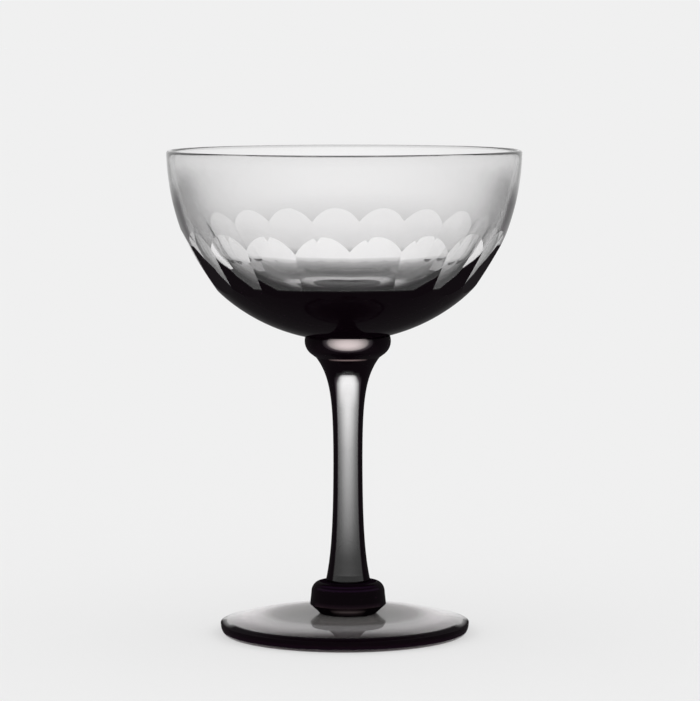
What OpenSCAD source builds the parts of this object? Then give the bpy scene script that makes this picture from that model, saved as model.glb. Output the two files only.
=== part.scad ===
// Coupe glass: a wide cut bowl on a drawn stem, with a knop at each end of the stem and a round
// foot. The pieces are hot-worked glass fused end to end, so they meet face to face with no
// clearance. The origin is the centre of the ring that the foot stands on, +Z is up, and the
// glass is seen from the front along +Y.

/* [Bowl] */
// Outside diameter of the bowl at its rim
rim_d = 96.5; // [85:0.5:110]
// Thickness of the glass at the rim
rim_wall = 1.5; // [1:0.1:2.5]
// Thickness of the glass under the middle of the bowl, before its seat is ground flat
base_wall = 8; // [6:0.5:11]
// How fast the wall thickens towards the base: 1 is steady, more keeps the upper wall thin
wall_ease = 1.05; // [0.9:0.05:2]
// Lean of the wall at the rim, in degrees from upright
rim_lean = 1.5; // [0:0.5:6]
// Side-view radius of the upper wall
wall_round = 67; // [55:1:80]
// Lean at which the upper wall runs into the belly, in degrees
belly_lean = 25; // [20:1:35]
// Side-view radius of the belly
belly_round = 38; // [34:0.5:44]
// Lean at which the belly runs into the underside, in degrees
under_lean = 52; // [46:1:64]

/* [Lens cuts] */
// Number of lens cuts round the belly
cut_n = 19; // [14:1:26]
// Lean of the cuts at their middle, in degrees from upright
cut_lean = 31; // [26:1:38]
// Depth of glass that a cut takes off at its middle
cut_depth = 0.85; // [0.5:0.05:1.2]
// Side-view radius of a cut's face, which is straight across and just full up and down
cut_round = 150; // [100:10:400]
// Turn of the front ridge between two cuts from straight ahead, in degrees
ridge_turn = 2; // [-9:1:9]
// Share of the hand grinder's unevenness in the places of the cuts: 0 spaces them evenly
uneven_share = 1; // [0:0.1:1.2]

/* [Upper knop] */
// Diameter of the upper knop at its widest
upper_knop_d = 23.5; // [20:0.5:28]
// Height of the upper knop between its two seats
upper_knop_h = 5.9; // [5:0.1:8]
// Side-view radius of the upper knop's rounded edge
upper_knop_round = 4.4; // [3.5:0.1:4.6]
// Height from the upper knop's widest line up to the seat of the bowl
upper_knop_neck = 1.4; // [0.8:0.1:2]
// Lean at which the rounded edge ends and the upper knop narrows straight to the stem, in degrees
upper_knop_lean = 55; // [35:1:60]

/* [Stem] */
// Length of the stem between the knops
stem_h = 61.5; // [45:0.5:90]
// Diameter that both flares of the stem run down to
stem_d = 7.7; // [6:0.1:11]
// How far the top flare stands out from the stem at its end
top_flare = 4.8; // [3:0.1:6]
// Length over which the top flare fades to about a third
top_reach = 6.3; // [4:0.1:12]
// How far the bottom flare stands out from the stem at its end
bottom_flare = 2.3; // [1:0.1:4]
// Length over which the bottom flare fades to about a third
bottom_reach = 10; // [5:0.5:14]
// Rounding of the stem's lower edge, which leaves a crease over the lower knop
stem_lip = 0.7; // [0.3:0.1:1.2]
// How far the stem and its knops stand to the right of the bowl's axis, as set by hand
stem_off = 0.9; // [0:0.1:1.5]

/* [Lower knop] */
// Diameter of the lower knop at its sharp lower edge
lower_knop_d = 20.8; // [18:0.1:26]
// Diameter of the lower knop where its rounded shoulder ends
shoulder_d = 20.1; // [17:0.1:24]
// Height of the rounded shoulder
shoulder_h = 2.9; // [2:0.1:4]
// Diameter of the flat top that the stem stands on
lower_knop_top_d = 15.2; // [14:0.1:17]
// Height of the lower knop between its two seats
lower_knop_h = 8.8; // [7:0.1:12]
// Height of the sharp edge above the foot
blade_h = 2.6; // [1.5:0.1:3.5]
// Diameter of the lower knop where it meets the foot
lower_knop_seat_d = 15.2; // [12:0.1:17]

/* [Foot] */
// Diameter of the foot
foot_d = 68; // [60:1:80]
// Height of the foot at its middle
foot_h = 5.4; // [4:0.1:8]
// Height of the foot's edge at its widest line
foot_edge_h = 3; // [2:0.1:3.8]
// Width of the rounding under the edge of the foot
foot_edge_round = 1.6; // [0.5:0.1:2]
// How late the foot's top falls to its edge: 2 is an even dome, more keeps the middle flat
crown_power = 4.5; // [2:0.1:8]
// How softly the foot's top runs out into its edge
crown_ease = 1.2; // [1:0.1:2]
// Diameter of the shallow hollow under the foot, inside the ring that it stands on
hollow_d = 50; // [40:1:56]
// Depth of the hollow under the foot
hollow_h = 0.8; // [0.3:0.1:1.5]

/* [Hidden] */
$fn = 96;

// Steps of a curve in the profiles, and of the whole circle that the cuts' faces are a part of
curve_steps = 36;
lip_steps = 10;
edge_steps = 12;
cut_steps = 540;

// How far each cut stands from its even place, in degrees, as ground by eye
cut_drifts = [
    -0.8, -1.1, 0.3, 2.6, 2.5, 1.7, 2.8, 2.6, 1.4, 1.3,
    1.7, 0.6, -1.1, 1.3, -2.8, 0.4, -0.3, -2.4, 1.6
];

// Colours of thin and of thick glass
thin_glass = [0.80, 0.79, 0.81, 0.45];
stem_glass = [0.42, 0.40, 0.43, 0.70];
thick_glass = [0.12, 0.08, 0.13, 0.90];

// Heights of the seats, stacked from the table up
lower_knop_z = foot_h;
stem_z = lower_knop_z + lower_knop_h;
upper_knop_z = stem_z + stem_h;
bowl_z = upper_knop_z + upper_knop_h;

// A point on an arc of the bowl's outline, at the place where the wall leans by a degrees
function on_arc(centre, radius, a) = centre + radius * [cos(a), -sin(a)];

// Centres of the bowl's three arcs. The outline starts at height zero under the lip, each arc
// runs on from the one before, and the last one is round about the axis.
rim_r = rim_d / 2;
wall_centre = [rim_r, 0] - wall_round * [cos(rim_lean), -sin(rim_lean)];
belly_centre = on_arc(wall_centre, wall_round - belly_round, belly_lean);
under_round = on_arc(belly_centre, belly_round, under_lean)[0] / cos(under_lean);
under_centre = on_arc(belly_centre, belly_round - under_round, under_lean);

// The bowl's outline, the thickness of its wall and its inside, by the lean of the wall
function outside(a) =
    a < belly_lean ? on_arc(wall_centre, wall_round, a)
    : a < under_lean ? on_arc(belly_centre, belly_round, a)
    : on_arc(under_centre, under_round, a);
function wall(a) =
    rim_wall + (base_wall - rim_wall) * pow((a - rim_lean) / (90 - rim_lean), wall_ease);
function inside(a) = outside(a) + wall(a) * [-cos(a), sin(a)];

// The bowl is ground flat where its underside is as wide as the top of the upper knop
upper_knop_centre = [upper_knop_d / 2 - upper_knop_round, upper_knop_h - upper_knop_neck];
neck_angle = asin(upper_knop_neck / upper_knop_round);
seat_r = upper_knop_centre[0] + upper_knop_round * cos(neck_angle);
seat_lean = acos(seat_r / under_round);

// Side of the block that grinds a cut, wide enough for the deepest one
grinder_w = rim_d / 3;

// Radius of the stem at height h above its lower end
function stem_r(h) =
    stem_d / 2 + top_flare * exp(-(stem_h - h) / top_reach) + bottom_flare * exp(-h / bottom_reach);

// Height of the foot's top at radius r, level under the lower knop and low at the edge
foot_r = foot_d / 2;
foot_flat_r = lower_knop_seat_d / 2 + stem_off;
function foot_top(r) =
    foot_edge_h + (foot_h - foot_edge_h)
    * pow(1 - pow((r - foot_flat_r) / (foot_r - foot_flat_r), crown_power), crown_ease);

// Height of the hollow under the foot at radius r
function hollow_top(r) = hollow_h * (1 - pow(2 * r / hollow_d, 2));

// Values from one end to the other in even steps
function steps(from, to, n) = [for (i = [0:n]) from + (to - from) * i / n];

module bowl_body() {
    lip_r = rim_wall / 2;
    lip_centre = outside(rim_lean) + lip_r * [-cos(rim_lean), sin(rim_lean)];
    rotate_extrude()
        polygon(concat(
            [[0, outside(seat_lean)[1]]],
            [for (a = steps(seat_lean, rim_lean, curve_steps)) outside(a)],
            [for (a = steps(0, 180, lip_steps)) lip_centre + lip_r * [cos(a - rim_lean), sin(a - rim_lean)]],
            [for (a = steps(rim_lean, 90, curve_steps)) if (a > rim_lean && a < 90) inside(a)],
            [[0, inside(90)[1]]]
        ));
}

// The face of a cut is part of a wide level cylinder, which lies cut_depth inside the wall at the
// middle of the cut. All of the block round it that stands outside the cylinder is ground off.
module lens_grinder() {
    face = outside(cut_lean) + cut_depth * [-cos(cut_lean), sin(cut_lean)];
    centre = on_arc(face, -cut_round, cut_lean);
    difference() {
        translate([face[0], 0, face[1]])
            rotate([0, cut_lean, 0])
                cube(grinder_w, center = true);
        translate([centre[0], 0, centre[1]])
            rotate([90, 0, 0])
                cylinder(r = cut_round, h = 2 * grinder_w, center = true, $fn = cut_steps);
    }
}

// Place of cut i round the axis, in degrees
function cut_turn(i) =
    ridge_turn - 90 + (i + 0.5) * 360 / cut_n + uneven_share * cut_drifts[i % len(cut_drifts)];

module bowl() {
    color(thin_glass)
        translate([0, 0, bowl_z - outside(seat_lean)[1]])
            difference() {
                bowl_body();
                for (i = [0:cut_n - 1])
                    rotate([0, 0, cut_turn(i)])
                        lens_grinder();
            }
}

module upper_knop() {
    color(thick_glass)
        translate([stem_off, 0, upper_knop_z])
            rotate_extrude()
                polygon(concat(
                    [[0, 0], [stem_r(stem_h), 0]],
                    [for (a = steps(upper_knop_lean, -neck_angle, edge_steps))
                        on_arc(upper_knop_centre, upper_knop_round, a)],
                    [[0, upper_knop_h]]
                ));
}

module stem() {
    lip_r = stem_r(stem_lip);
    color(stem_glass)
        translate([stem_off, 0, stem_z])
            rotate_extrude()
                polygon(concat(
                    [[0, 0]],
                    [for (a = steps(-90, 0, lip_steps))
                        [lip_r - stem_lip, stem_lip] + stem_lip * [cos(a), sin(a)]],
                    [for (h = steps(stem_lip, stem_h, curve_steps)) if (h > stem_lip) [stem_r(h), h]],
                    [[0, stem_h]]
                ));
}

module lower_knop() {
    top_r = lower_knop_top_d / 2;
    shoulder_w = shoulder_d / 2 - top_r;
    color(thick_glass)
        translate([stem_off, 0, lower_knop_z])
            rotate_extrude()
                polygon(concat(
                    [[0, 0], [lower_knop_seat_d / 2, 0], [lower_knop_d / 2, blade_h]],
                    [for (a = steps(0, 90, edge_steps))
                        [top_r + shoulder_w * cos(a), lower_knop_h - shoulder_h * (1 - sin(a))]],
                    [[0, lower_knop_h]]
                ));
}

module foot() {
    ring_r = foot_r - foot_edge_round;
    color(stem_glass)
        rotate_extrude()
            polygon(concat(
                [for (r = steps(0, hollow_d / 2, edge_steps)) [r, hollow_top(r)]],
                [for (a = steps(-90, 0, edge_steps))
                    [ring_r + foot_edge_round * cos(a), foot_edge_h * (1 + sin(a))]],
                [for (r = steps(foot_r, foot_flat_r, curve_steps))
                    if (r < foot_r && r > foot_flat_r) [r, foot_top(r)]],
                [[foot_flat_r, foot_h], [0, foot_h]]
            ));
}

bowl();
upper_knop();
stem();
lower_knop();
foot();
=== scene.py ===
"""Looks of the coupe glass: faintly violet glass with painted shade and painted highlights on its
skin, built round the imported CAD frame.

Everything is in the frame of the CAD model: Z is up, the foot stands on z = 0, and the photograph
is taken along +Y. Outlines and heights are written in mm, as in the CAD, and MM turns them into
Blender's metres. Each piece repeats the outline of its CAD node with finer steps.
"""

import math

import bmesh
import bpy
from mathutils import Matrix


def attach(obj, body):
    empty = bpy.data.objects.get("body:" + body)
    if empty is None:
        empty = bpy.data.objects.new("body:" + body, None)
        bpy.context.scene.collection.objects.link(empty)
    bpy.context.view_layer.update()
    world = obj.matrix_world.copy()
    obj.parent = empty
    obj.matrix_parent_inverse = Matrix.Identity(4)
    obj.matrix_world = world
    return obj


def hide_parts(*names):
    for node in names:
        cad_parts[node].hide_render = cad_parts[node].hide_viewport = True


MM = 0.001

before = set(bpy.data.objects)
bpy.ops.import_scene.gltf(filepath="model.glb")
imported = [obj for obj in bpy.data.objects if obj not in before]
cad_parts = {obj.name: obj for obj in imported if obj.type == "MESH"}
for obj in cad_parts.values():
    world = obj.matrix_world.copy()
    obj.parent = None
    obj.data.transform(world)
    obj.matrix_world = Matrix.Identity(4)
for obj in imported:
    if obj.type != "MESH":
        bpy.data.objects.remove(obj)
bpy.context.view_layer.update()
collection = bpy.context.scene.collection


# Dimensions, in mm and degrees

# Bowl: an outline of three arcs, each of which begins where the wall has a given lean
RIM_R = 48.25
RIM_WALL = 1.5  # thickness of the glass at the rim
BASE_WALL = 8.0  # thickness of the glass under the middle
WALL_EASE = 1.05  # 1 thickens the wall steadily, more keeps its upper part thin
RIM_LEAN = 1.5
WALL_ROUND = 67.0
BELLY_LEAN = 25.0
BELLY_ROUND = 38.0
UNDER_LEAN = 52.0

# Lens cuts round the belly
CUT_N = 19
CUT_LEAN = 31.0  # lean of a cut at its middle
CUT_DEPTH = 0.85
CUT_ROUND = 150.0  # side-view radius of a cut's face
RIDGE_TURN = 2.0  # turn of the front ridge from straight ahead
CUT_DRIFTS = [  # how far each cut stands from its even place, a smoother fit than the CAD's
    -0.3, -0.7, 0.6, 2.2, 2.5, 2.3, 2.6, 2.5, 1.7, 1.5,
    1.5, 0.5, -0.1, -0.2, -1.1, -0.5, -0.6, -1.0, 0.1,
]

# Upper knop
UPPER_KNOP_R = 11.75
UPPER_KNOP_H = 5.9
UPPER_KNOP_ROUND = 4.4  # side-view radius of its edge
UPPER_KNOP_NECK = 1.4  # from its widest line up to the seat of the bowl
UPPER_KNOP_LEAN = 55.0  # where its round edge ends and it narrows straight to the stem

# Stem, whose flares fade to about a third over their reach
STEM_H = 61.5
STEM_R = 3.85
STEM_LIP = 0.7  # rounding of its lower edge
STEM_OFF = 0.9  # how far the stem and its knops stand to the right of the bowl's axis
TOP_FLARE, TOP_REACH = 4.8, 6.3
BOTTOM_FLARE, BOTTOM_REACH = 2.3, 10.0

# Lower knop
LOWER_KNOP_R = 10.4  # at its sharp lower edge
LOWER_KNOP_H = 8.8
BLADE_H = 2.6  # height of the sharp edge above the foot
SHOULDER_R = 10.05
SHOULDER_H = 2.9
LOWER_KNOP_TOP_R = 7.6
LOWER_KNOP_SEAT_R = 7.6

# Foot
FOOT_R = 34.0
FOOT_H = 5.4
FOOT_EDGE_H = 3.0  # height of its widest line
FOOT_EDGE_ROUND = 1.6
FOOT_FLAT_R = LOWER_KNOP_SEAT_R + STEM_OFF  # the flat under the knop
CROWN_POWER = 4.5  # how late the top falls to the edge
CROWN_EASE = 1.2  # how softly the top runs out into the edge
HOLLOW_R = 25.0
HOLLOW_H = 0.8
HOLLOW_EASE = 0.08  # rounding of the hollow's edge
HOLLOW_MIDDLE_R = 1.0  # inside this the hollow needs no rounding

# Heights of the seats, stacked from the table up
LOWER_KNOP_Z = FOOT_H
STEM_Z = LOWER_KNOP_Z + LOWER_KNOP_H
UPPER_KNOP_Z = STEM_Z + STEM_H
BOWL_Z = UPPER_KNOP_Z + UPPER_KNOP_H

# Each piece ends a hair short of its seat, so that light leaves one before it enters the next
HALF_GAP = 0.01


# Outlines


def cos(a):
    return math.cos(math.radians(a))


def sin(a):
    return math.sin(math.radians(a))


def on_arc(centre, radius, a):
    """The point of an arc where a wall that follows it leans by a degrees from upright."""
    return (centre[0] + radius * cos(a), centre[1] - radius * sin(a))


def steps(start, end, n):
    return [start + (end - start) * i / n for i in range(n + 1)]


WALL_CENTRE = (RIM_R - WALL_ROUND * cos(RIM_LEAN), WALL_ROUND * sin(RIM_LEAN))
BELLY_CENTRE = on_arc(WALL_CENTRE, WALL_ROUND - BELLY_ROUND, BELLY_LEAN)
UNDER_ROUND = on_arc(BELLY_CENTRE, BELLY_ROUND, UNDER_LEAN)[0] / cos(UNDER_LEAN)
UNDER_CENTRE = on_arc(BELLY_CENTRE, BELLY_ROUND - UNDER_ROUND, UNDER_LEAN)


def outside(a):
    """The bowl's outline where the wall leans by a degrees, from height zero at the rim."""
    if a < BELLY_LEAN:
        return on_arc(WALL_CENTRE, WALL_ROUND, a)
    if a < UNDER_LEAN:
        return on_arc(BELLY_CENTRE, BELLY_ROUND, a)
    return on_arc(UNDER_CENTRE, UNDER_ROUND, a)


def wall(a):
    """Thickness of the bowl's wall where it leans by a degrees."""
    share = (a - RIM_LEAN) / (90 - RIM_LEAN)
    return RIM_WALL + (BASE_WALL - RIM_WALL) * share**WALL_EASE


def inside(a):
    return on_arc(outside(a), -wall(a), a)


KNOP_CENTRE = (UPPER_KNOP_R - UPPER_KNOP_ROUND, UPPER_KNOP_H - UPPER_KNOP_NECK)
NECK_ANGLE = math.degrees(math.asin(UPPER_KNOP_NECK / UPPER_KNOP_ROUND))
SEAT_R = KNOP_CENTRE[0] + UPPER_KNOP_ROUND * cos(NECK_ANGLE)
SEAT_LEAN = math.degrees(math.acos(SEAT_R / UNDER_ROUND))
BOWL_LIFT = BOWL_Z - outside(SEAT_LEAN)[1]


def stem_r(h):
    """Radius of the stem at height h over its lower end."""
    return (
        STEM_R
        + TOP_FLARE * math.exp(-(STEM_H - h) / TOP_REACH)
        + BOTTOM_FLARE * math.exp(-h / BOTTOM_REACH)
    )


def hollow_top(r):
    """Height of the hollow under the foot at radius r."""
    h = HOLLOW_H * (1 - (r / HOLLOW_R) ** 2)
    return h if r <= HOLLOW_MIDDLE_R else (h + math.hypot(h, HOLLOW_EASE)) / 2


def foot_top(r):
    """Height of the foot's top at radius r."""
    share = max(0.0, (r - FOOT_FLAT_R) / (FOOT_R - FOOT_FLAT_R))
    return FOOT_EDGE_H + (FOOT_H - FOOT_EDGE_H) * (1 - share**CROWN_POWER) ** CROWN_EASE


# Mesh building

CORNER = 25  # degrees between two faces from which their edge stays crisp


def vertex(bm, r, turn, h, axis_x=0.0):
    """A vertex at a radius and turn round an upright axis, and a height."""
    return bm.verts.new(((axis_x + r * cos(turn)) * MM, r * sin(turn) * MM, h * MM))


def revolve(outline, segments, axis_x=0.0, lift=0.0):
    """Turns an outline of (radius, height), from axis to axis, into a closed skin."""
    bm = bmesh.new()
    rings = []
    for r, h in outline:
        count = segments if r else 1
        rings.append([vertex(bm, r, 360 * i / count, h + lift, axis_x) for i in range(count)])
    for low, high in zip(rings, rings[1:]):
        for i in range(segments):
            j = (i + 1) % segments
            around = ((low, i), (low, j), (high, j), (high, i))
            corners = [ring[k % len(ring)] for ring, k in around]
            bm.faces.new(list(dict.fromkeys(corners)))  # two corners on the axis are one
    bmesh.ops.recalc_face_normals(bm, faces=bm.faces)
    for edge in bm.edges:
        if edge.calc_face_angle(0) > math.radians(CORNER):
            edge.smooth = False
    return bm


def piece(name, bm, node, material, seats=()):
    """Makes an object of a finished mesh that stands in for a CAD node, with its dark seats."""
    for face in bm.faces:
        face.smooth = True
        for seat_z in seats:
            if all(abs(v.co.z / MM - seat_z) < 2 * HALF_GAP for v in face.verts):
                face.material_index = 1
    mesh = bpy.data.meshes.new(name)
    bm.to_mesh(mesh)
    bm.free()
    mesh.materials.append(material)
    mesh.materials.append(FUSED_SEAT)
    made = bpy.data.objects.new(name, mesh)
    collection.objects.link(made)
    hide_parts(node)
    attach(made, "root")


def fused_piece(name, node, material, outline, lift, height, segments):
    """A turned piece on the stem's axis, whose open outline is closed by a seat at each end."""
    (bottom_r, _), *between, (top_r, _) = outline
    top = height - HALF_GAP
    closed = [(0, HALF_GAP), (bottom_r, HALF_GAP), *between, (top_r, top), (0, top)]
    bm = revolve(closed, segments, STEM_OFF, lift)
    piece(name, bm, node, material, [lift, lift + height])


# Nodes


def empty_tree(owner):
    """The node tree of a material or world, with nothing in it."""
    owner.use_nodes = True
    owner.node_tree.nodes.clear()
    return owner.node_tree


def add_node(tree, kind, inputs=None, **settings):
    """Adds a node with its settings, and links or sets its inputs."""
    node = tree.nodes.new("ShaderNode" + kind)
    for name, value in settings.items():
        setattr(node, name, value)
    for name, value in (inputs or {}).items():
        if isinstance(value, bpy.types.NodeSocket):
            tree.links.new(value, node.inputs[name])
        else:
            node.inputs[name].default_value = value
    return node


def calculate(tree, operation, *values):
    """The result of a Math node."""
    return add_node(tree, "Math", dict(enumerate(values)), operation=operation).outputs[0]


def rgb(colour):
    """A colour's three parts, where a single number stands for a grey."""
    return colour if isinstance(colour, tuple) else (colour, colour, colour)


def ramp(tree, value, stops, unit=1.0):
    """Turns a value into a colour, by stops of (value, colour) with the values in a unit."""
    low, high = stops[0][0], stops[-1][0]
    if (low, high) != (0.0, 1.0):
        span = {"Value": value, "From Min": low * unit, "From Max": high * unit}
        value = add_node(tree, "MapRange", span).outputs["Result"]
    node = add_node(tree, "ValToRGB", {"Fac": value})
    elements = node.color_ramp.elements
    while len(elements) < len(stops):
        elements.new(0.5)
    for element, (place, colour) in zip(elements, stops):
        element.position = (place - low) / (high - low)
        element.color = (*rgb(colour), 1)
    return node.outputs["Color"]


def blend(tree, a, b, factor=1.0, mode="MIX"):
    """Mixes colour b over colour a, or joins the two in another mode."""
    inputs = {"Factor": factor}
    for name, colour in (("A", a), ("B", b)):
        is_socket = isinstance(colour, bpy.types.NodeSocket)
        inputs[name] = colour if is_socket else (*rgb(colour), 1)
    return add_node(tree, "Mix", inputs, data_type="RGBA", blend_type=mode).outputs["Result"]


# Glass

DEEP = (0.5, 0.0, 0.2, 1)  # what the depth of the glass lets through
# Painted shade: the black painted on the skin where the glass would show a dark room bent through
# it
BLACK = (0.0035, 0.0015, 0.0030)
JOINT_HIGHLIGHT = (0.3, 0.22, 0.22)  # painted highlight: the fine light line round a joint

GLASS_IOR = 1.5
GLASS_GLOSS = 0.5  # the level at which the shader's gloss follows its IOR
BLACK_LETS = 0.04  # share of light that black skin still lets through
BLACK_COLOUR_AT = 0.3  # share of black from which the skin has the colours of its painted black and painted lights
BLACK_DULL_AT = 0.05  # share of black from which the skin has no gloss
CURVE_BLUR = 0.25  # mm over and under a curve in which the black under it fades
WALL_TIMES, OWN_TIMES = 3.0, -2.0  # what the round wall's slant and a cut's own count for


def even(colour):
    """Stops with one colour from end to end."""
    return [(0.0, colour), (1.0, colour)]


NONE, ALL = even(0.0), even(1.0)


def warm(v):
    """A grey with a little less green and blue."""
    return (v, 0.97 * v, 0.95 * v)


def slant_seen(tree, **normal):
    """How slantwise a surface is seen: 1 less the cosine, so 0 square on and 1 edge on."""
    return add_node(tree, "LayerWeight", {"Blend": 0.5, **normal}).outputs["Facing"]


def twice(stops):
    """Base colours of glass: light that crosses a face takes the root of its base colour."""
    return [(place, tuple(c * c for c in rgb(colour))) for place, colour in stops]


def banded(tree, z, facing, bands):
    """Mixes stops by slant from band to band, each of which has its own height and stops."""
    below, stops = bands[0]
    mixed = ramp(tree, facing, stops)
    for height, stops in bands[1:]:
        rise = ramp(tree, z, [(below, 0.0), (height, 1.0)], MM)
        mixed = blend(tree, mixed, ramp(tree, facing, stops), rise)
        below = height
    return mixed


def under(tree, z, slant, curve):
    """Painted black, painted shade, under a height that rises with the slant, by points of (slant,
    height).
    """
    limit = ramp(tree, slant, [(place, height * MM) for place, height in curve])
    room = calculate(tree, "SUBTRACT", limit, z)
    return ramp(tree, room, [(-CURVE_BLUR, 0.0), (CURVE_BLUR, 1.0)], MM)


def slant_across(tree, x, y, facing):
    """How slantwise a cut is seen, with more of a change from its one side to the other.

    The slant of the round wall that was cut away changes across the cut, and the cut's own doesn't.
    """
    level = add_node(tree, "CombineXYZ", {"X": x, "Y": y}).outputs[0]
    radius = add_node(tree, "VectorMath", {0: level}, operation="LENGTH").outputs["Value"]
    down = calculate(tree, "MULTIPLY", radius, -math.tan(math.radians(CUT_LEAN)))
    outward = add_node(tree, "CombineXYZ", {"X": x, "Y": y, "Z": down}).outputs[0]
    normal = add_node(tree, "VectorMath", {0: outward}, operation="NORMALIZE").outputs[0]
    own = calculate(tree, "MULTIPLY", facing, OWN_TIMES)
    return calculate(tree, "MULTIPLY_ADD", slant_seen(tree, Normal=normal), WALL_TIMES, own)


def glass(
    name, density, heights, edges, black, skins=(), painted_lights=None, painted_lights_end=None, rough=None
):
    """Glass with a colour in its depth, and painted shade on its skin: a colour darker downwards
    and at the outline, parts painted black, and painted highlights and reflections on the black.

    heights are the shares of light that the skin lets through by height, and edges the same by how
    slantwise the skin is seen (0 square on, 1 edge on), in bands of height: painted shade, darker
    where the glass would show a dark room bent through it. black says in such bands where the skin
    is painted black, painted shade too, and painted_lights gives that black painted highlights and
    painted reflections by height, which painted_lights_end lets fade out between two slants. skins
    are face attributes, each with its own colour by height, its own painted black in bands and,
    across the cuts, its painted black under a curve. rough gives the roughness by height.
    """
    mat = bpy.data.materials.new(name)
    tree = empty_tree(mat)
    place = add_node(tree, "TexCoord").outputs["Object"]
    x, y, z = add_node(tree, "SeparateXYZ", {0: place}).outputs
    facing = slant_seen(tree)

    # Painted shade: darker by height and by slant, and black in bands, where the glass would show a
    # dark room bent through it
    painted_tint = ramp(tree, z, twice(heights), MM)
    dark = banded(tree, z, facing, black)
    for skin, skin_heights, skin_black, curve in skins:
        mask = add_node(tree, "Attribute", attribute_name=skin).outputs["Fac"]
        painted_tint = blend(tree, painted_tint, ramp(tree, z, twice(skin_heights), MM), mask)
        skin_dark = banded(tree, z, facing, skin_black)
        if curve:
            below = under(tree, z, slant_across(tree, x, y, facing), curve)
            skin_dark = blend(tree, skin_dark, below, mode="LIGHTEN")
        dark = blend(tree, dark, skin_dark, mask)
    slant = banded(tree, z, facing, [(height, twice(stops)) for height, stops in edges])
    painted_tint = blend(tree, painted_tint, slant, mode="MULTIPLY")

    # Painted light: the black's colours by height, with painted highlight lines and painted
    # reflections
    shade = ramp(tree, z, painted_lights, MM) if painted_lights else BLACK
    if painted_lights_end:
        start, end = painted_lights_end
        shade = blend(tree, shade, BLACK, ramp(tree, facing, [(start, 0.0), (end, 1.0)]))
    painted_tint = blend(tree, painted_tint, shade, ramp(tree, dark, [(0.0, 0.0), (BLACK_COLOUR_AT, 1.0)]))

    shader = add_node(tree, "BsdfPrincipled", {
        "Base Color": painted_tint,
        "Roughness": ramp(tree, z, rough, MM) if rough else 0.0,
        "IOR": GLASS_IOR,
        "Transmission Weight": ramp(tree, dark, [(0.0, 1.0), (1.0, BLACK_LETS)]),
        "Specular IOR Level": ramp(tree, dark, [(0.0, GLASS_GLOSS), (BLACK_DULL_AT, 0.0)]),
    })
    depth = add_node(tree, "VolumeAbsorption", {"Color": DEEP, "Density": density})
    surface_and_volume = {"Surface": shader.outputs[0], "Volume": depth.outputs[0]}
    add_node(tree, "OutputMaterial", surface_and_volume)
    return mat


def fused_seat():
    """The fused seats between two pieces, dark right through: a dark sheet across each joint, where
    the real glass runs on clear, adding to the painted shade of the knops and the bowl's base.
    """
    mat = bpy.data.materials.new("fused_seat")
    tree = empty_tree(mat)
    shader = add_node(tree, "BsdfPrincipled", {
        "Base Color": (0.006, 0.003, 0.006, 1), "Roughness": 0.6, "Specular IOR Level": 0.0,
    })
    add_node(tree, "OutputMaterial", {"Surface": shader.outputs[0]})
    return mat


def bowl_glass():
    """Clear at the lip, with painted shade: darker downwards and at the outline, and black
    underneath and low in the cuts.
    """
    lower_edge = [
        (0.0, 1.0), (0.25, 0.95), (0.4, 0.88), (0.5, 0.78), (0.57, 0.68), (0.64, 0.54),
        (0.7, 0.45), (0.79, 0.31), (0.9, 0.26), (1.0, 0.26),
    ]
    upper_edge = [
        (0.0, 1.0), (0.25, 0.97), (0.5, 0.95), (0.65, 0.92), (0.75, 0.84), (0.9, 0.7), (1.0, 0.6),
    ]
    underside = [(0.0, 0.0), (0.23, 0.0), (0.27, 1.0), (0.75, 1.0), (0.9, 0.93), (1.0, 0.72)]
    outline = [(0.0, 0.0), (0.62, 0.0), (0.7, 0.15), (0.76, 0.5), (0.9, 0.5), (1.0, 0.2)]
    cut_skin = (
        "cut",
        [(94, 0.5), (95, 0.6), (97, 0.75), (99, 1.0)],
        [(96.0, [(0.0, 0.0), (0.1, 0.0), (0.15, 1.0)]), (96.5, NONE)],
        [
            (0.26, 90.0), (0.28, 96.3), (0.33, 97.0), (0.54, 99.8), (0.6, 101.3), (0.8, 103.5),
            (1.0, 106.8),
        ],
    )
    inner_skin = ("inner", ALL, [(0, NONE)], None)
    return glass(
        "bowl_glass",
        density=3.0,
        heights=[
            (82.5, 0.9), (83.1, 0.75), (83.8, 0.25), (86, 0.17), (89, 0.23), (91, 0.3), (93, 0.43),
            (95, 0.5), (97, 0.55), (105, 0.64), (109, 0.77), (111, 0.82), (113, 0.87), (115, 0.91),
            (117, 0.92), (121, 0.92), (126, 0.92), (129, 0.91), (131, 0.87),
        ],
        edges=[(122, lower_edge), (129, upper_edge)],
        black=[(96.2, underside), (96.7, NONE), (99, outline), (118, outline), (124, NONE)],
        skins=[cut_skin, inner_skin],
    )


def upper_knop_glass():
    """Painted black, painted shade, but for a light patch where it is seen square on, with a
    painted highlight line under it.
    """
    return glass(
        "upper_knop_glass",
        density=8.0,
        heights=ALL,
        edges=[(0, [
            (0.0, warm(0.92)), (0.025, warm(0.86)), (0.07, warm(0.6)), (0.12, warm(0.28)),
            (0.17, warm(0.1)),
        ])],
        black=[(0, [(0.0, 0.0), (0.11, 0.0), (0.2, 1.0)])],
        painted_lights=[(75.7, JOINT_HIGHLIGHT), (75.9, BLACK)],
        painted_lights_end=(0.48, 0.62),
    )


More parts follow.
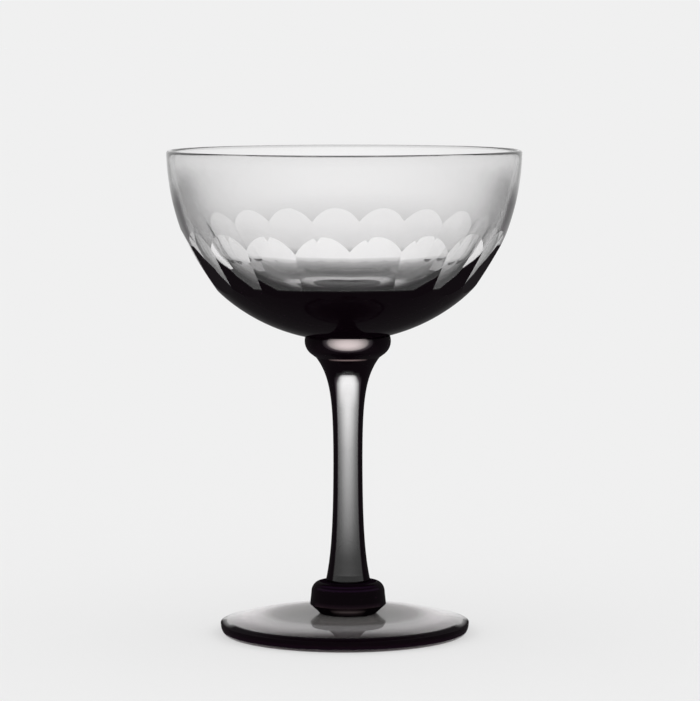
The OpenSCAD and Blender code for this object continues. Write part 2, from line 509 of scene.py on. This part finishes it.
def stem_glass():
    """Painted shade: a light core, darker downwards, between black sides and under a black top,
    with a painted highlight line round its top joint.
    """
    core = [(0.0, 0.0), (0.25, 0.0), (0.31, 1.0)]
    flare_core = [(0.0, 0.0), (0.2, 0.0), (0.31, 1.0)]
    core_top = [(0.0, 0.0), (0.14, 0.0), (0.25, 1.0)]
    core_end = [(0.0, 0.0), (0.12, 0.0), (0.16, 1.0)]
    return glass(
        "stem_glass",
        density=2.0,
        heights=[
            (0, 0.2), (20, 0.2), (31, 0.465), (50.3, 0.69), (60, 0.86), (66.7, 0.96),
            (71.4, 0.96), (72, 0.7), (72.4, 0.4), (73, 0.2),
        ],
        edges=[
            (62, [
                (0.0, 1.0), (0.05, 0.787), (0.1, 0.62), (0.15, 0.487), (0.2, 0.383),
                (0.25, 0.3), (0.3, 0.2),
            ]),
            (69, [
                (0.0, 1.0), (0.08, 1.0), (0.11, 0.9), (0.14, 0.68), (0.19, 0.36), (0.25, 0.2),
                (0.3, 0.1),
            ]),
        ],
        black=[(62, core), (69, flare_core), (71.3, core_top), (72.2, core_end), (72.8, ALL)],
        painted_lights=[(75.3, BLACK), (75.6, JOINT_HIGHLIGHT), (75.7, JOINT_HIGHLIGHT)],
        painted_lights_end=(0.25, 0.42),
    )


def lower_knop_glass():
    """Painted black, painted shade, with a painted reflection line under the blade and faint
    painted violet highlight lines on the shoulder.
    """
    return glass(
        "lower_knop_glass",
        density=10.0,
        heights=ALL,
        edges=[(0, ALL)],
        black=[(0, ALL)],
        painted_lights=[
            (5.6, BLACK), (6.4, (0.05, 0.035, 0.04)), (7.0, (0.2, 0.16, 0.16)),
            (7.4, (0.06, 0.04, 0.045)), (7.9, (0.02, 0.012, 0.014)), (8.5, (0.012, 0.006, 0.01)),
            (9.2, BLACK), (12.4, BLACK), (12.8, (0.014, 0.006, 0.016)), (13.2, BLACK),
            (13.6, (0.012, 0.005, 0.014)), (13.9, BLACK),
        ],
        painted_lights_end=(0.44, 0.55),
    )


def foot_glass():
    """Clear on top, with a painted black edge, painted shade, that ends in a line over its widest
    part.
    """
    return glass(
        "foot_glass",
        density=10.0,
        heights=[
            (0, 1.0), (0.1, 1.0), (0.3, 0.85), (0.5, 0.7), (0.8, 0.6), (4, 1.0), (5, 1.0),
            (5.3, 0.8), (5.4, 0.66),
        ],
        edges=[(0, ALL)],
        black=[
            (0.82, NONE), (0.92, ALL), (2.8, ALL),
            (3.1, [(0.0, 1.0), (0.85, 1.0), (0.89, 0.0)]),
            (3.6, [(0.0, 1.0), (0.74, 1.0), (0.78, 0.0)]),
            (3.78, NONE), (4.6, NONE),
            # Painted shade: near the knop the top is partly black with a painted dark grey, so the
            # knop's mirror image and what is bent round it stay faint
            (5.2, even(0.15)), (5.3, even(0.25)), (5.38, even(0.38)), (5.4, even(0.45)),
        ],
        # Painted light on the black: a faint violet highlight line low on the edge, and dark grey
        # on the top near the knop
        painted_lights=[
            (1.2, (0.008, 0.0025, 0.007)), (1.7, (0.006, 0.002, 0.005)), (2.2, BLACK),
            (3.4, BLACK), (3.7, (0.012, 0.009, 0.0115)), (5, (0.14, 0.135, 0.13)),
        ],
        rough=[(0, 0.25), (1, 0.25), (1.5, 0.0), (4.5, 0.0), (5.2, 0.1), (5.4, 0.14)],
    )


FUSED_SEAT = fused_seat()


# Bowl

COLUMNS = 16  # columns of faces across each cut
UNDER_ROWS, CUT_ROWS, WALL_ROWS, LIP_ROWS, INNER_ROWS = 24, 24, 40, 16, 72

INNER_REACH = 3.0  # over which the creases of the inner skin are eased
INNER_ENDS = 8  # rows at each end over which the easing fades

CUT_REACH = 12  # degrees up and down from a cut's middle to where its face is clear of the wall
DEEPEST_REACH = 8  # degrees up and down from its middle within which a cut is deepest
DEEPEST_TRIES = 64
HALVINGS = 40

CUT_CENTRE = on_arc(outside(CUT_LEAN), -CUT_DEPTH - CUT_ROUND, CUT_LEAN)
CUT_TURNS = [
    RIDGE_TURN - 90 + (i + 0.5) * 360 / CUT_N + CUT_DRIFTS[i] for i in range(CUT_N)
]
SEAT_H = outside(SEAT_LEAN)[1] + HALF_GAP


def first_true(start, end, test):
    """The place between start and end from which a test is true, by halving."""
    for _ in range(HALVINGS):
        middle = (start + end) / 2
        if test(middle):
            end = middle
        else:
            start = middle
    return (start + end) / 2


def lean_at(height):
    """The lean of the wall at a height under the rim."""
    return first_true(RIM_LEAN, SEAT_LEAN, lambda a: outside(a)[1] <= height)


def cut_point(t, off):
    """Radius and height of a cut's face at its lean t, off degrees round from its middle."""
    u, h = on_arc(CUT_CENTRE, CUT_ROUND, t)
    return (u / cos(off), h)


def proud(t, off):
    """How far the face of a cut would stand out of the wall: less than zero where it cuts."""
    r, h = cut_point(t, off)
    return r - outside(lean_at(h))[0]


def cut_span(off):
    """Leans of the cut's face at its lower and upper ends, off degrees from its middle."""
    tries = steps(CUT_LEAN - DEEPEST_REACH, CUT_LEAN + DEEPEST_REACH, DEEPEST_TRIES)
    deepest = min(tries, key=lambda t: proud(t, off))
    if proud(deepest, off) > 0:
        return (deepest, deepest)
    return tuple(
        first_true(deepest, end, lambda t: proud(t, off) >= 0)
        for end in (CUT_LEAN + CUT_REACH, CUT_LEAN - CUT_REACH)
    )


def bowl_columns():
    """Angle round the axis and angle from the cut's middle of each column, cut after cut."""
    columns = []
    for i in range(CUT_N):
        middle = CUT_TURNS[i]
        before = CUT_TURNS[i - 1] - (360 if i == 0 else 0)
        after = CUT_TURNS[(i + 1) % CUT_N] + (360 if i == CUT_N - 1 else 0)
        turns = steps((before + middle) / 2, (middle + after) / 2, COLUMNS)[:-1]
        columns += [(turn, turn - middle) for turn in turns]
    return columns


def eased(points):
    """Eases the slight creases of an outline, with its ends kept."""
    last = len(points) - 1
    result = []
    for i, point in enumerate(points):
        nearness = [math.exp(-((math.dist(point, q) / INNER_REACH) ** 2)) for q in points]
        share = min(1.0, i / INNER_ENDS, (last - i) / INNER_ENDS)
        mean = [sum(n * q[k] for n, q in zip(nearness, points)) / sum(nearness) for k in (0, 1)]
        result.append(tuple(p + (m - p) * share for p, m in zip(point, mean)))
    return result


def bowl_outline(off):
    """The bowl's outer skin from its seat to its rim, off degrees from the middle of a cut."""
    low, high = cut_span(off)
    low_lean, high_lean = (lean_at(cut_point(end, off)[1]) for end in (low, high))
    return [
        (outside(SEAT_LEAN)[0], SEAT_H),
        *(outside(a) for a in steps(SEAT_LEAN, low_lean, UNDER_ROWS)[1:]),
        *(cut_point(t, off) for t in steps(low, high, CUT_ROWS)[1:]),
        *(outside(a) for a in steps(high_lean, RIM_LEAN, WALL_ROWS)[1:]),
    ]


def make_bowl():
    lip_centre = on_arc(outside(RIM_LEAN), -RIM_WALL / 2, RIM_LEAN)
    lip = [on_arc(lip_centre, RIM_WALL / 2, RIM_LEAN - a) for a in steps(0, 180, LIP_ROWS)[1:]]
    inner = eased([inside(a) for a in steps(RIM_LEAN, 90, INNER_ROWS)])[1:-1]
    cut_rows = range(UNDER_ROWS, UNDER_ROWS + CUT_ROWS)
    first_inner_row = UNDER_ROWS + CUT_ROWS + WALL_ROWS + LIP_ROWS

    bm = bmesh.new()
    cut_skin, inner_skin = (bm.faces.layers.float.new(name) for name in ("cut", "inner"))
    rings = [
        [vertex(bm, r, turn, h + BOWL_LIFT) for r, h in bowl_outline(off) + lip + inner]
        for turn, off in bowl_columns()
    ]
    seat_middle = vertex(bm, 0, 0, SEAT_H + BOWL_LIFT)
    inner_middle = vertex(bm, 0, 0, inside(90)[1] + BOWL_LIFT)
    neighbours = list(zip(rings, rings[1:] + rings[:1]))
    for ring, following in neighbours:
        bm.faces.new((seat_middle, following[0], ring[0]))
        for k in range(len(ring) - 1):
            face = bm.faces.new((ring[k], following[k], following[k + 1], ring[k + 1]))
            face[cut_skin] = float(k in cut_rows)
            face[inner_skin] = float(k >= first_inner_row)
        face = bm.faces.new((ring[-1], following[-1], inner_middle))
        face[inner_skin] = 1.0
    bmesh.ops.recalc_face_normals(bm, faces=bm.faces)

    # The corners of the seat, of each cut's two ends and of the ridges between cuts stay crisp
    for ring, following in neighbours:
        for k in (0, cut_rows.start, cut_rows.stop):
            bm.edges.get((ring[k], following[k])).smooth = False
    for ring in rings[::COLUMNS]:
        for k in cut_rows:
            bm.edges.get((ring[k], ring[k + 1])).smooth = False
    piece("cut_bowl", bm, "bowl", bowl_glass(), [BOWL_Z])


# Knops, stem and foot

# Steps of each curve in the outlines, and segments round each piece
KNOP_STEPS, SHOULDER_STEPS, KNOP_SEGMENTS = 32, 24, 160
STEM_LIP_STEPS, STEM_STEPS, STEM_SEGMENTS = 16, 96, 128
HOLLOW_STEPS, FOOT_EDGE_STEPS, FOOT_TOP_STEPS, FOOT_SEGMENTS = 64, 24, 96, 256


def make_upper_knop():
    outline = [(stem_r(STEM_H), 0)]
    outline += [
        on_arc(KNOP_CENTRE, UPPER_KNOP_ROUND, a)
        for a in steps(UPPER_KNOP_LEAN, -NECK_ANGLE, KNOP_STEPS)
    ]
    fused_piece(
        "rounded_knop", "upper_knop", upper_knop_glass(), outline,
        lift=UPPER_KNOP_Z, height=UPPER_KNOP_H, segments=KNOP_SEGMENTS,
    )


def make_stem():
    lip_centre = (stem_r(STEM_LIP) - STEM_LIP, STEM_LIP)
    outline = [on_arc(lip_centre, STEM_LIP, a) for a in steps(90, 0, STEM_LIP_STEPS)]
    outline += [(stem_r(h), h) for h in steps(STEM_LIP, STEM_H - HALF_GAP, STEM_STEPS)[1:]]
    fused_piece(
        "drawn_stem", "stem", stem_glass(), outline,
        lift=STEM_Z, height=STEM_H, segments=STEM_SEGMENTS,
    )


def make_lower_knop():
    shoulder_w = SHOULDER_R - LOWER_KNOP_TOP_R
    outline = [(LOWER_KNOP_SEAT_R, 0), (LOWER_KNOP_R, BLADE_H)]
    outline += [
        (LOWER_KNOP_TOP_R + shoulder_w * cos(a), LOWER_KNOP_H - SHOULDER_H * (1 - sin(a)))
        for a in steps(0, 90, SHOULDER_STEPS)
    ]
    fused_piece(
        "bladed_knop", "lower_knop", lower_knop_glass(), outline,
        lift=LOWER_KNOP_Z, height=LOWER_KNOP_H, segments=KNOP_SEGMENTS,
    )


def make_foot():
    ring_r = FOOT_R - FOOT_EDGE_ROUND
    outline = [(r, hollow_top(r)) for r in steps(0, ring_r, HOLLOW_STEPS)[:-1]]
    outline += [
        (ring_r + FOOT_EDGE_ROUND * cos(a), FOOT_EDGE_H * (1 + sin(a)))
        for a in steps(-90, 0, FOOT_EDGE_STEPS)
    ]
    outline += [(r, foot_top(r)) for r in steps(FOOT_R, FOOT_FLAT_R, FOOT_TOP_STEPS)[1:-1]]
    outline += [(FOOT_FLAT_R, FOOT_H - HALF_GAP), (0, FOOT_H - HALF_GAP)]
    piece("round_foot", revolve(outline, FOOT_SEGMENTS), "foot", foot_glass())


make_bowl()
make_upper_knop()
make_stem()
make_lower_knop()
make_foot()


# Floor, world and camera

PALE = 0.871  # the background's grey, as light
OVERHEAD = 0.04
ROOM = [  # what the glass shows of the room, by the sine of the height over level
    (0.0, PALE), (0.5, PALE), (0.65, OVERHEAD), (1.0, OVERHEAD),
]
FLOOR_R = 60  # metres
FLOOR_SEGMENTS = 96
FLOOR_DROP = 0.02  # mm, clear of the foot's underside
PLAIN_SHARE = 0.5  # share of the seen floor that is plain background, so its shadow stays soft

# The camera was fitted to the ellipses of the rim and the foot in the photograph
PHOTO_W = 700  # pixels
FOCAL_LENGTH = 3530.8  # pixels
SENSOR_W = 36  # mm
CAMERA_AT = (0.0015, -0.9579, 0.1622)  # metres
CAMERA_DOWN = 5.05  # degrees under level
CAMERA_ROLL = -0.06  # degrees
CLIP_NEAR, CLIP_FAR = 0.01, 1000  # metres


def seen_share(tree, path):
    """One for rays of the camera and for those mirrored or let through by the glass, else zero."""
    seen = path["Is Camera Ray"]
    for kind in ("Is Glossy Ray", "Is Transmission Ray"):
        seen = calculate(tree, "MAXIMUM", seen, path[kind])
    # After a plain surface a ray only brings light to that surface, and isn't seen itself
    direct = calculate(tree, "LESS_THAN", path["Diffuse Depth"], 0.5)
    return calculate(tree, "MULTIPLY", seen, direct)


def pale_floor():
    """Pale, and white where it is met through the glass."""
    mat = bpy.data.materials.new("pale_floor")
    tree = empty_tree(mat)
    path = add_node(tree, "LightPath").outputs
    colour = blend(tree, PALE, 1.0, path["Is Transmission Ray"])
    lit = add_node(tree, "BsdfDiffuse", {"Color": colour})
    plain = add_node(tree, "Emission", {"Color": colour})
    share = calculate(tree, "MULTIPLY", seen_share(tree, path), PLAIN_SHARE)
    mix = add_node(tree, "MixShader", {"Fac": share, 1: lit.outputs[0], 2: plain.outputs[0]})
    add_node(tree, "OutputMaterial", {"Surface": mix.outputs[0]})
    return mat


def make_floor():
    bm = bmesh.new()
    bmesh.ops.create_circle(bm, cap_ends=True, segments=FLOOR_SEGMENTS, radius=FLOOR_R)
    mesh = bpy.data.meshes.new("floor")
    bm.to_mesh(mesh)
    bm.free()
    mesh.materials.append(pale_floor())
    floor = bpy.data.objects.new("floor", mesh)
    floor.location.z = -FLOOR_DROP * MM
    collection.objects.link(floor)


def make_world():
    """White light from all round, seen as a pale room that is dark overhead."""
    world = bpy.data.worlds.new("studio")
    bpy.context.scene.world = world
    tree = empty_tree(world)
    path = add_node(tree, "LightPath").outputs
    direction = add_node(tree, "TexCoord").outputs["Generated"]
    up = add_node(tree, "SeparateXYZ", {0: direction}).outputs["Z"]
    # Where it is met through the glass the pale room is white, as the floor is
    through = calculate(tree, "MULTIPLY_ADD", path["Is Transmission Ray"], 1 / PALE - 1, 1.0)
    seen = add_node(tree, "Background", {"Color": ramp(tree, up, ROOM), "Strength": through})
    lit = add_node(tree, "Background", {"Color": (1, 1, 1, 1)})
    share = seen_share(tree, path)
    mix = add_node(tree, "MixShader", {"Fac": share, 1: lit.outputs[0], 2: seen.outputs[0]})
    add_node(tree, "OutputWorld", {"Surface": mix.outputs[0]})


def make_camera():
    data = bpy.data.cameras.new("camera")
    data.sensor_fit = "HORIZONTAL"
    data.sensor_width = SENSOR_W
    data.lens = FOCAL_LENGTH / PHOTO_W * SENSOR_W
    data.clip_start, data.clip_end = CLIP_NEAR, CLIP_FAR
    camera = bpy.data.objects.new("camera", data)
    camera.matrix_world = (
        Matrix.Translation(CAMERA_AT)
        @ Matrix.Rotation(math.radians(90 - CAMERA_DOWN), 4, "X")
        @ Matrix.Rotation(math.radians(CAMERA_ROLL), 4, "Z")
    )
    collection.objects.link(camera)
    bpy.context.scene.camera = camera


make_floor()
make_world()
make_camera()

bpy.context.scene.view_settings.view_transform = "Standard"
